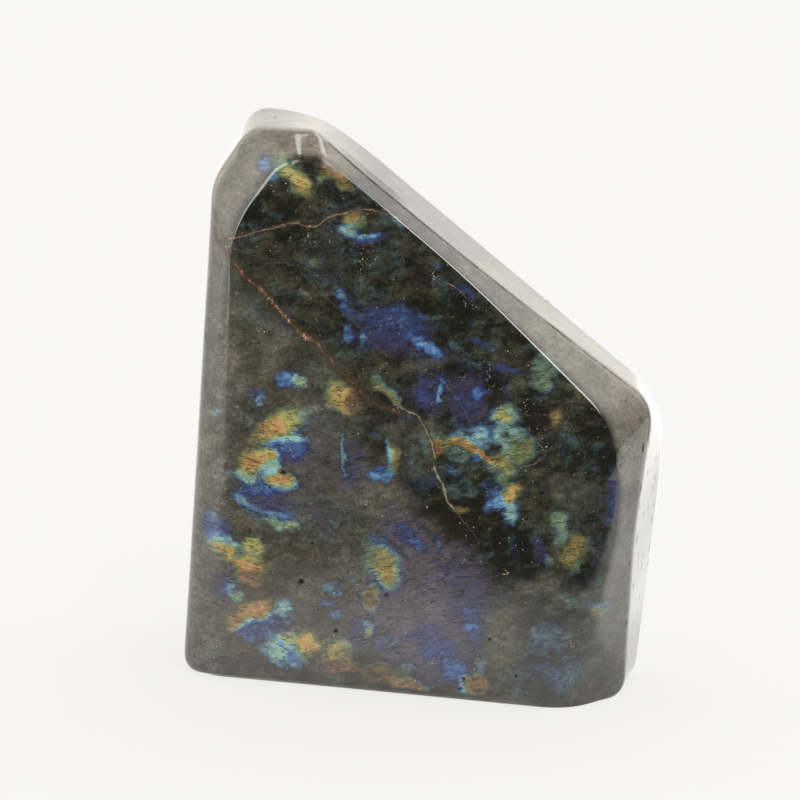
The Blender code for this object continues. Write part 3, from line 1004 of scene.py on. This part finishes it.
def layCracks(places, near):
    gap, width, rust = np.full(len(places), marks["crackReach"]), np.zeros(len(places)), np.zeros(len(places))
    for crack in cracks:
        line = np.array(crack["line"])
        for a, b in zip(line[:-1], line[1:]):
            step, away = b - a, offLine(places[:, (0, 2)], a, b)
            distance = np.hypot(away[:, 0], away[:, 1])
            side = np.sign(step[0] * away[:, 1] - step[1] * away[:, 0])
            closer = near & (distance < np.abs(gap))
            gap[closer] = (distance * side)[closer]
            width[closer] = crack["width"]
            rust[closer] = crack["rust"]
    for length, seed, swing in marks["crackWobble"]:
        gap = gap + noiseAt(places, length, seed) * swing
    return np.clip(gap, -marks["crackReach"], marks["crackReach"]), width, rust


def layRidgeShade(places):
    # a painted dark line along the ridge: painted shade standing for the darker reflection in its rounding
    distance = np.full(len(places), 9.0)
    ridge = edgeLine(1, [marks["ridgeSteps"]] * len(corners))[0] - np.array((0, 0, patternFoot))
    fromLeft, above = marks["ridgeStart"]
    for a, b in zip(ridge[:-1], ridge[1:]):
        if a[0] > left + fromLeft and a[2] > above:
            distance = np.minimum(distance, lengthsOf(offLine(places, a, b))[:, 0])
    return smooth(*marks["ridgeWidth"], distance)


def laySpots(places, near, spots, outer, inner):
    most = np.zeros(len(places))
    for x, z, radius in spots:
        away = np.hypot(places[:, 0] - x, places[:, 2] - z) / radius
        most = np.maximum(most, near * smooth(outer, inner, away))
    return most


def paintPattern(mesh):
    places = placesOf(mesh) - np.array((0, 0, patternFoot))
    near = places[:, 1] < front + marks["frontDepth"]
    moved = warped(places)
    hue, glow = layFlashes(moved)
    tone, paintedSheen = layGrounds(places, moved)
    gap, width, rust = layCracks(places, near)
    rightEdge = right - np.array(marks["chipsFrom"])
    (x, z), (w, h) = marks["dullCrown"]
    fromCrown = np.hypot((places[:, 0] - x) / w, (places[:, 2] - z) / h)
    painted = {
        "flashHue": hue,
        "flashGlow": glow,
        "groundTone": tone,
        "paintedSheen": paintedSheen,
        "crackGap": gap,
        "crackWidth": width,
        "crackRust": rust,
        "speckle": laySpots(places, near, speckClusters, 1.3, 0.4),
        "openPit": laySpots(places, near, [pit[:3] for pit in facePits], 1.05, 0.6),
        "chips": smooth(*rightEdge, places[:, 0]) * smooth(*marks["chipsAbove"], places[:, 2]),
        "ridgeShade": layRidgeShade(places),
        "dulled": near * smooth(1.1, 0.6, fromCrown) * smooth(front, front + 0.05, places[:, 1]),
    }
    for name, values in painted.items():
        attribute = mesh.attributes.new(name, "FLOAT", "POINT")
        attribute.data.foreach_set("value", values.astype(np.float32))


# The attributes that the material reads, one from the pits' tree and the others painted
attributeNames = (
    "scatteredPit", "flashHue", "flashGlow", "groundTone", "paintedSheen", "crackGap", "crackWidth", "crackRust",
    "speckle", "openPit", "chips", "ridgeShade", "dulled",
)

# Colours are what an eye sees, 0 to 255
stoneFinish = {
    "bodyColours": [
        (0.0, (20, 20, 15)),
        (0.2, (30, 30, 25)),
        (0.4, (45, 45, 37)),
        (0.6, (62, 61, 52)),
        (0.8, (84, 81, 71)),
        (1.0, (112, 107, 96)),
    ],
    "flashColours": [
        (0.0, (86, 80, 102)),
        (0.12, (52, 53, 86)),
        (0.24, (46, 62, 106)),
        (0.36, (74, 108, 146)),
        (0.46, (114, 150, 148)),
        (0.57, (114, 138, 106)),
        (0.68, (134, 132, 84)),
        (0.79, (152, 130, 76)),
        (0.9, (146, 106, 74)),
        (1.0, (96, 72, 54)),
    ],
    "tints": [
        (0.0, (46, 38, 26)),
        (0.3, (60, 54, 38)),
        (0.5, (56, 60, 46)),
        (0.72, (48, 60, 50)),
        (1.0, (52, 58, 66)),
    ],
    # colours of the painted sheen, a painted reflection of the pale floor and studio
    "sheenColours": [(0.3, (69, 65, 55)), (0.5, (96, 91, 80)), (0.7, (124, 117, 105))],
    "rust": [(0.0, (38, 26, 17)), (0.4, (66, 45, 30)), (0.68, (94, 68, 48)), (1.0, (192, 162, 136))],
    "specks": [(0.0, (124, 112, 74)), (0.4, (160, 146, 120)), (0.7, (214, 204, 190)), (1.0, (140, 104, 74))],
    "lamella": srgb(30, 30, 25),
    # the colour of the hairline cracks and chips, and of the painted shade line along the ridge
    "darkLine": srgb(40, 34, 27),
    "stain": srgb(60, 45, 31),
    "seam": srgb(134, 134, 112),
    # painted shade inside the pits, which the shallow dents alone don't darken
    "pit": srgb(12, 11, 10),
    "noises": {  # size, detail, roughness, distortion
        "mottle": (6.0, 8.0, 0.66, 0.1),
        "grain": (0.9, 4.0, 0.6),
        "fine": (0.38, 2.0, 0.7),
        "drift": (11.0, 6.0, 0.56, 0.2),
        "beads": (2.2, 3.0, 0.6),
    },
    "slabNoises": {  # sizes along, through and across the lamellae, then as above
        "blotch": ((3.6, 3.0, 2.2), 6.0, 0.62, 0.1),
        "streaks": ((6.0, 4.0, 0.6), 4.0, 0.55),
    },
    "wander": {"Scale": 0.3, "Detail": 4.0},  # bends the crystals, flakes, hairlines and specks
    "crystals": ((5.0, 5.0, 3.0), 7.0),  # sizes, and how far they are bent
    "flakes": ((1.9, 1.9, 0.8), 2.0),
    "lamellae": (7.0, 5.0, 1.1),
    "bodySwings": {"blotch": 0.16, "streaks": 0.07, "grain": 0.12, "fine": 0.06},
    "hueSwings": {"grain": 0.03, "blotch": 0.06},
    "breakSwings": {"streaks": 0.06, "grain": 0.1, "blotch": 0.22},
    "sheenSwings": {"blotch": 0.05, "grain": 0.07},
    "lightSwings": {"fine": 0.16, "grain": 0.1},
    # specks per millimetre, how few there are outside and in the clusters, largest, how strong
    "speckKinds": ((1.5, 0.996, 0.55, 0.28, 0.85), (2.6, 0.978, 0.5, 0.32, 0.65)),
    "dashes": ((1.0, 0.7, 0.32), 0.75),
    "dashesLeftOut": 0.55,
    "roughness": 0.1,
    "dullness": 0.35,
    "refraction": 1.56,
    "bump": {"Strength": 0.35, "Distance": 0.00006},
}


def alongLamellae(tree, place, sizes, slope=cleavage["rise"]):
    inputs = {"Vector": place, "Rotation": (0.0, -math.radians(slope), 0.0), "Scale": sizes}
    return newNode(tree, "ShaderNodeMapping", inputs, vector_type="TEXTURE").outputs[0]


def around(tree, value, swing, low=0.25, high=0.75):
    return rangeOf(tree, value, low, high, -swing, swing, "LINEAR")


def bentBy(tree, on, reach):
    inputs = {0: on["wander"], 1: (reach, reach, reach), 2: on["place"]}
    return newNode(tree, "ShaderNodeVectorMath", inputs, operation="MULTIPLY_ADD").outputs[0]


def cellsOf(tree, vector, scale=1.0):
    # each cell has three dice of its own, and the distance from its middle
    cells = newNode(tree, "ShaderNodeTexVoronoi", {"Vector": vector, "Scale": scale}).outputs
    return newNode(tree, "ShaderNodeSeparateColor", {0: cells["Color"]}).outputs, cells["Distance"]


def swingsOf(tree, on, name):
    return [around(tree, on[noiseName], swing) for noiseName, swing in stoneFinish[name].items()]


def surfaceOf(tree):
    # the attributes and the noises that the layers share
    finish = stoneFinish
    on = {name: attributeOf(tree, name) for name in attributeNames}
    on["place"] = scaled(tree, newNode(tree, "ShaderNodeTexCoord").outputs["Object"], 1 / mm)
    for name, settings in finish["noises"].items():
        on[name] = noiseOf(tree, on["place"], *settings)
    for name, (sizes, *settings) in finish["slabNoises"].items():
        on[name] = noiseOf(tree, alongLamellae(tree, on["place"], sizes), 1.0, *settings)
    inputs = {"Vector": on["place"], **finish["wander"]}
    on["wander"] = newNode(tree, "ShaderNodeTexNoise", inputs).outputs["Color"]
    for name, sort in (("crystal", "crystals"), ("flake", "flakes")):
        sizes, reach = finish[sort]
        on[name] = cellsOf(tree, alongLamellae(tree, bentBy(tree, on, reach), sizes))[0]
    return on


def darkBody(tree, on):
    value = sumOf(
        tree,
        around(tree, on["flake"]["Blue"], 0.06, 0.0, 1.0),
        rangeOf(tree, on["mottle"], 0.25, 0.75, 0.12, 0.72, "LINEAR"),
        on["groundTone"],
        around(tree, on["crystal"]["Red"], 0.08, 0.0, 1.0),
        *swingsOf(tree, on, "bodySwings"),
    )
    value = mathOf(tree, "ADD", value, -0.14, clamp=True)
    colour = rampOf(tree, value, stoneFinish["bodyColours"])
    tint = rampOf(tree, rangeOf(tree, on["drift"], 0.28, 0.72, 0.0, 1.0, "LINEAR"), stoneFinish["tints"])
    tintShare = rangeOf(tree, on["crystal"]["Green"], 0.2, 0.9, 0.1, 0.42)
    return mixOf(tree, times(tree, tintShare, rangeOf(tree, value, 0.0, 0.45)), colour, tint)


def faintFlashes(tree, on, colour):
    # they are everywhere, mostly too faint to tell their colour
    strength = times(
        tree,
        rangeOf(tree, on["blotch"], 0.44, 0.72),
        rangeOf(tree, on["drift"], 0.35, 0.65, 0.06, 0.3),
        rangeOf(tree, on["grain"], 0.3, 0.6, 0.45, 0.9),
    )
    byPlace = rangeOf(tree, on["drift"], 0.35, 0.65, 0.95, 0.1, "LINEAR")
    hue = sumOf(tree, byPlace, around(tree, on["grain"], 0.15))
    return mixOf(tree, strength, colour, rampOf(tree, hue, stoneFinish["flashColours"]))


def sheenAndFlashes(tree, on, colour):
    # the painted sheen: a pale painted reflection laid over the ground colour
    sheenTone = sumOf(tree, 0.25, times(tree, on["mottle"], 0.5), *swingsOf(tree, on, "sheenSwings"))
    sheenColour = rampOf(tree, sheenTone, stoneFinish["sheenColours"])
    sheenShare = times(tree, on["paintedSheen"], rangeOf(tree, on["blotch"], 0.25, 0.5, 0.6, 1.0))
    colour = mixOf(tree, sheenShare, colour, sheenColour)
    # the painted flashes have ragged edges and are brightest in their middle
    hueDice = around(tree, on["flake"]["Green"], 0.04, 0.0, 1.0)
    hue = sumOf(tree, on["flashHue"], *swingsOf(tree, on, "hueSwings"), hueDice)
    breakDice = rangeOf(tree, on["flake"]["Red"], 0.0, 1.0, -0.14, 0.11, "LINEAR")
    breaks = sumOf(tree, *swingsOf(tree, on, "breakSwings"), breakDice)
    breaks = times(tree, breaks, rangeOf(tree, on["flashGlow"], 0.0, 0.8, 0.4, 1.0))
    ragged = sumOf(tree, on["flashGlow"], breaks)
    shown = times(tree, rangeOf(tree, ragged, 0.0, 0.95), rangeOf(tree, on["flashGlow"], 0.02, 0.2))
    bright = rangeOf(tree, ragged, 0.6, 1.05, 1.0, 1.35)
    colour = mixOf(tree, shown, colour, scaled(tree, rampOf(tree, hue, stoneFinish["flashColours"]), bright))
    # some of the painted sheen lies over the flashes
    return mixOf(tree, times(tree, sheenShare, shown, 0.3), colour, sheenColour)


def darkLamellae(tree, on, colour):
    # thin lines, strongest across the flashes
    atLeft = rangeOf(tree, axesOf(tree, on["place"])["X"], *cleavage["leftEnds"], 1.0, 0.0)
    elsewhere = mathOf(tree, "SUBTRACT", 1.0, atLeft)
    for slope, here in ((-cleavage["leftFall"], atLeft), (cleavage["rise"], elsewhere)):
        slabs = alongLamellae(tree, on["place"], stoneFinish["lamellae"], slope)
        layers = noiseOf(tree, slabs, 1.0, detail=2.0, roughness=0.6, distortion=0.3)
        edge = mathOf(tree, "ABSOLUTE", mathOf(tree, "SUBTRACT", layers, 0.47))
        line = times(
            tree,
            rangeOf(tree, edge, 0.035, 0.008),
            rangeOf(tree, on["flashGlow"], 0.0, 0.5, 0.3, 0.75),
            rangeOf(tree, on["blotch"], 0.35, 0.55, 0.35, 1.0),
            here,
        )
        colour = mixOf(tree, line, colour, stoneFinish["lamella"])
    return colour


def healedCracks(tree, on, colour):
    finish = stoneFinish
    gap = mathOf(tree, "ABSOLUTE", sumOf(tree, on["crackGap"], around(tree, on["grain"], 0.2)))
    inner = times(tree, on["crackWidth"], 0.1)
    border = rangeOf(tree, gap, times(tree, on["crackWidth"], 2.0), inner)
    borderColour = mixOf(tree, on["crackRust"], finish["darkLine"], finish["stain"])
    colour = mixOf(tree, times(tree, border, 0.75), colour, borderColour)
    outer = times(tree, on["crackWidth"], rangeOf(tree, on["beads"], 0.38, 0.68, 0.22, 1.2))
    crack = times(tree, rangeOf(tree, gap, outer, inner), rangeOf(tree, on["mottle"], 0.3, 0.5, 0.55, 0.95))
    rustShare = sumOf(tree, rangeOf(tree, on["beads"], 0.38, 0.66, 0.0, 0.75), around(tree, on["fine"], 0.35))
    filling = mixOf(tree, on["crackRust"], finish["seam"], rampOf(tree, rustShare, finish["rust"]))
    return mixOf(tree, crack, colour, filling), crack


def hairlinesChipsAndRidgeShade(tree, on, colour):
    finish = stoneFinish
    inputs = {"Vector": bentBy(tree, on, finish["crystals"][1]), "Scale": 0.11}
    seams = newNode(tree, "ShaderNodeTexVoronoi", inputs, feature="DISTANCE_TO_EDGE").outputs["Distance"]
    darkLine = times(
        tree,
        rangeOf(tree, seams, 0.016, 0.005),
        rangeOf(tree, on["drift"], 0.38, 0.52, 0.1, 0.85),
        rangeOf(tree, on["paintedSheen"], 0.1, 0.7, 0.35, 1.0),
    )
    # the painted shade line along the ridge
    ridge = times(tree, on["ridgeShade"], rangeOf(tree, on["mottle"], 0.35, 0.6, 0.35, 0.8))
    colour = mixOf(tree, mostOf(tree, darkLine, ridge), colour, finish["darkLine"])
    stretch, scale = finish["dashes"]
    inputs = {0: on["place"], 1: stretch}
    dashed = newNode(tree, "ShaderNodeVectorMath", inputs, operation="MULTIPLY").outputs[0]
    dice, distance = cellsOf(tree, dashed, scale)
    chosen = mathOf(tree, "GREATER_THAN", dice["Red"], finish["dashesLeftOut"])
    chip = times(tree, chosen, on["chips"], rangeOf(tree, distance, 0.32, 0.14))
    return mixOf(tree, times(tree, chip, 0.85), colour, finish["darkLine"]), mostOf(tree, ridge, chip)


def brightSpecks(tree, on, colour):
    bent = bentBy(tree, on, 0.6)
    for scale, common, crowded, size, strength in stoneFinish["speckKinds"]:
        dice, distance = cellsOf(tree, bent, scale)
        chance = rangeOf(tree, on["speckle"], 0.0, 1.0, common, crowded, "LINEAR")
        chosen = mathOf(tree, "GREATER_THAN", dice["Blue"], chance)
        reach = rangeOf(tree, dice["Green"], 0.0, 1.0, 0.4 * size, size, "LINEAR")
        speck = times(tree, mathOf(tree, "LESS_THAN", distance, reach), chosen, strength)
        colour = mixOf(tree, speck, colour, rampOf(tree, dice["Red"], stoneFinish["specks"]))
    return colour


def polishedLabradorite():
    finish = stoneFinish
    material = bpy.data.materials.new("polished labradorite")
    material.use_nodes = True
    tree = material.node_tree
    on = surfaceOf(tree)
    colour = darkBody(tree, on)
    colour = faintFlashes(tree, on, colour)
    colour = sheenAndFlashes(tree, on, colour)
    colour = darkLamellae(tree, on, colour)
    colour, crack = healedCracks(tree, on, colour)
    colour, chipsAndRidgeShade = hairlinesChipsAndRidgeShade(tree, on, colour)
    colour = brightSpecks(tree, on, colour)
    colour = scaled(tree, colour, sumOf(tree, 1.0, *swingsOf(tree, on, "lightSwings")))
    # the pits are painted almost black: painted shade in the hollows
    grainy = rangeOf(tree, on["grain"], 0.3, 0.5, 0.7, 1.0)
    pit = times(tree, mostOf(tree, on["openPit"], on["scatteredPit"]), grainy)
    colour = mixOf(tree, times(tree, pit, 0.85), colour, finish["pit"])
    smoothest = finish["roughness"]
    roughness = sumOf(
        tree,
        rangeOf(tree, on["grain"], 0.3, 0.7, smoothest - 0.02, smoothest + 0.03),
        times(tree, pit, 0.7),
        times(tree, crack, 0.25),
        times(tree, on["dulled"], finish["dullness"]),
    )
    relief = sumOf(tree, times(tree, crack, -1.0), times(tree, on["grain"], 0.2))
    given = {
        "Base Color": colour,
        "Roughness": roughness,
        "Specular IOR Level": rangeOf(tree, mostOf(tree, chipsAndRidgeShade, pit), 0.0, 0.6, 0.5, 0.06),
        "Normal": newNode(tree, "ShaderNodeBump", {**finish["bump"], "Height": relief}).outputs[0],
    }
    shader = tree.nodes["Principled BSDF"]
    for name, value in given.items():
        tree.links.new(value, shader.inputs[name])
    shader.inputs["IOR"].default_value = finish["refraction"]
    return material


def makeStone():
    ground = bpy.data.objects.new("groundStone", rawMesh)
    bpy.context.scene.collection.objects.link(ground)
    tree = pitTree()
    modifier = ground.modifiers.new("scatteredPits", "NODES")
    modifier.node_group = tree
    for item in tree.interface.items_tree:
        if item.in_out == "INPUT" and item.name in pitting:
            modifier[item.identifier] = pitting[item.name]
        if item.in_out == "INPUT" and item.name == "Finish":
            modifier[item.identifier] = polishedLabradorite()
    evaluated = ground.evaluated_get(bpy.context.evaluated_depsgraph_get())
    mesh = bpy.data.meshes.new_from_object(evaluated)
    bpy.data.objects.remove(ground)
    paintPattern(mesh)
    mesh.shade_smooth()
    stone = bpy.data.objects.new("polishedStone", mesh)
    bpy.context.scene.collection.objects.link(stone)
    return stone


stone = makeStone()
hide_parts("labradorite_stone")
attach(stone, "root")
print("stone:", len(stone.data.vertices), "points, materials", [slot.name for slot in stone.data.materials])


# Floor, light and camera
studio = {
    "floorSize": 120.0,
    "floorColour": (0.07, 0.072, 0.074, 1.0),
    "roomColour": (0.02, 0.02, 0.02, 1.0),
    "floorLight": (1.0, 0.99, 0.975, 1.0),
    "floorGlow": 0.78,
    "floorMirror": 1.49,  # brighter in reflections behind and beside the stone
    "floorBeside": 1.55,  # and still brighter right of the stone, less so left of it
    "leftShare": 0.35,
    "besideFrom": ((0.05, 0.08), (-0.03, 0.01)),  # right of this x and behind this y
    "leftFrom": ((-0.05, -0.08), (-0.04, 0.02)),
    "floorDarkens": (-0.06, -0.145),  # in reflections the floor gives way to the dark room in front
    "floorLeft": (0.06, 1.2),  # it stays bright farther out at the left
    "roomGlow": 0.05,
    "floorLamp": ((-0.45, -0.54, 0.0), 0.17, 5.0),  # a bright place that draws a line on the left edge
    "backdrop": (0.985, 0.98, 0.968, 1.0),
    "room": 0.1,
    "lightTint": (1.0, 0.965, 0.925),
    "lobes": [  # direction of a soft light, cosines where it starts and is full, brightness
        ((0.3, 0.25, 1.0), 0.45, 0.9, 2.0),
        ((0.0, 1.0, 0.15), -0.1, 0.6, 1.3),
        ((-0.93, -0.2, 0.25), 0.6, 0.95, 2.2),
        ((-0.55, -0.8, 0.2), 0.93, 0.98, 4.0),
        ((0.42, -0.68, 0.6), 0.93, 0.98, 4.0),
        ((1.0, 0.1, 0.2), 0.5, 0.9, 0.8),
    ],
    "glints": [  # small lamps that only the polish shows, as bright lines on the ground edges
        ((0.42, -0.68, 0.6), 0.92, 0.975, 10.0),
        ((-0.55, -0.8, 0.2), 0.93, 0.98, 3.0),
        ((-0.35, -0.28, 0.89), 0.9965, 0.999, 8.0),
        ((0.2, 0.0, 0.98), 0.965, 0.99, 7.0),
    ],
    "azimuth": 8.0,
    "elevation": 11.0,
    "roll": 3.031,
    "lens": 100.0,
    "distance": 0.495,
    "target": (-0.0072, 0.0, 0.06192),
}


def floorGlow(tree, place, mirrored, room):
    x, y = axesOf(tree, place)[:2]
    (xFrom, xFull), (yFrom, yFull) = studio["besideFrom"]
    beside = times(tree, rangeOf(tree, x, xFrom, xFull), rangeOf(tree, y, yFrom, yFull))
    (xFrom, xFull), (yFrom, yFull) = studio["leftFrom"]
    atLeft = times(tree, rangeOf(tree, x, xFrom, xFull), rangeOf(tree, y, yFrom, yFull), studio["leftShare"])
    beside = times(tree, mostOf(tree, beside, atLeft), mirrored)
    glow = times(
        tree,
        rangeOf(tree, mirrored, 0.0, 1.0, studio["floorGlow"], studio["floorGlow"] * studio["floorMirror"]),
        rangeOf(tree, beside, 0.0, 1.0, 1.0, studio["floorBeside"]),
        rangeOf(tree, room, 0.0, 1.0, 1.0, studio["roomGlow"]),
    )
    lampPlace, reach, brightness = studio["floorLamp"]
    lamp = rangeOf(tree, distanceOf(tree, place, lampPlace), reach, reach / 2, 0.0, brightness)
    return sumOf(tree, glow, times(tree, lamp, mirrored))


def whitePaper():
    material = bpy.data.materials.new("white paper")
    material.use_nodes = True
    tree = material.node_tree
    place = newNode(tree, "ShaderNodeTexCoord").outputs["Object"]
    mirrored = newNode(tree, "ShaderNodeLightPath").outputs["Is Glossy Ray"]
    x, y = axesOf(tree, place)[:2]
    offset, lean = studio["floorLeft"]
    leftward = mathOf(tree, "MINIMUM", sumOf(tree, x, offset), 0.0)
    forward = mathOf(tree, "SUBTRACT", y, times(tree, leftward, lean))
    room = times(tree, rangeOf(tree, forward, *studio["floorDarkens"]), mirrored)
    inputs = tree.nodes["Principled BSDF"].inputs
    tree.links.new(mixOf(tree, room, studio["floorColour"], studio["roomColour"]), inputs["Base Color"])
    tree.links.new(floorGlow(tree, place, mirrored, room), inputs["Emission Strength"])
    inputs["Emission Color"].default_value = studio["floorLight"]
    inputs["Roughness"].default_value = 1.0
    inputs["Specular IOR Level"].default_value = 0.0
    return material


def makeFloor():
    half = studio["floorSize"] / 2
    mesh = bpy.data.meshes.new("floor")
    square = [(-half, -half, 0), (half, -half, 0), (half, half, 0), (-half, half, 0)]
    mesh.from_pydata(square, [], [(0, 1, 2, 3)])
    mesh.materials.append(whitePaper())
    floor = bpy.data.objects.new("floor", mesh)
    bpy.context.scene.collection.objects.link(floor)


def makeWorld():
    world = bpy.data.worlds.new("studio")
    bpy.context.scene.world = world
    world.use_nodes = True
    tree = world.node_tree
    direction = newNode(tree, "ShaderNodeTexCoord").outputs["Generated"]
    rays = newNode(tree, "ShaderNodeLightPath").outputs
    seen = studio["room"]
    for lamps, onlyMirrored in ((studio["lobes"], False), (studio["glints"], True)):
        for aim, start, full, brightness in lamps:
            inputs = {0: direction, 1: Vector(aim).normalized()}
            cosine = newNode(tree, "ShaderNodeVectorMath", inputs, operation="DOT_PRODUCT").outputs["Value"]
            lobe = rangeOf(tree, cosine, start, full, 0.0, brightness)
            if onlyMirrored:
                lobe = times(tree, lobe, rays["Is Glossy Ray"])
            seen = sumOf(tree, lobe, seen)
    warm = {channel: times(tree, seen, share) for channel, share in enumerate(studio["lightTint"])}
    lit = newNode(tree, "ShaderNodeCombineColor", warm).outputs[0]
    colour = mixOf(tree, rays["Is Camera Ray"], lit, studio["backdrop"])
    tree.links.new(colour, tree.nodes["Background"].inputs["Color"])


def makeCamera():
    azimuth, elevation, roll = (math.radians(studio[name]) for name in ("azimuth", "elevation", "roll"))
    flat = math.cos(elevation)
    away = Vector((math.sin(azimuth) * flat, -math.cos(azimuth) * flat, math.sin(elevation)))
    level = Vector((0, 0, 1)).cross(away).normalized()
    upright = away.cross(level)
    sideways = level * math.cos(roll) + upright * math.sin(roll)
    upwards = upright * math.cos(roll) - level * math.sin(roll)
    pose = Matrix((sideways, upwards, away)).transposed().to_4x4()
    pose.translation = Vector(studio["target"]) + away * studio["distance"]
    data = bpy.data.cameras.new("camera")
    data.lens = studio["lens"]
    data.sensor_width = 36.0
    camera = bpy.data.objects.new("camera", data)
    camera.matrix_world = pose
    bpy.context.scene.collection.objects.link(camera)
    bpy.context.scene.camera = camera


makeFloor()
makeWorld()
makeCamera()
bpy.context.scene.view_settings.view_transform = "Standard"
print("studio ready")
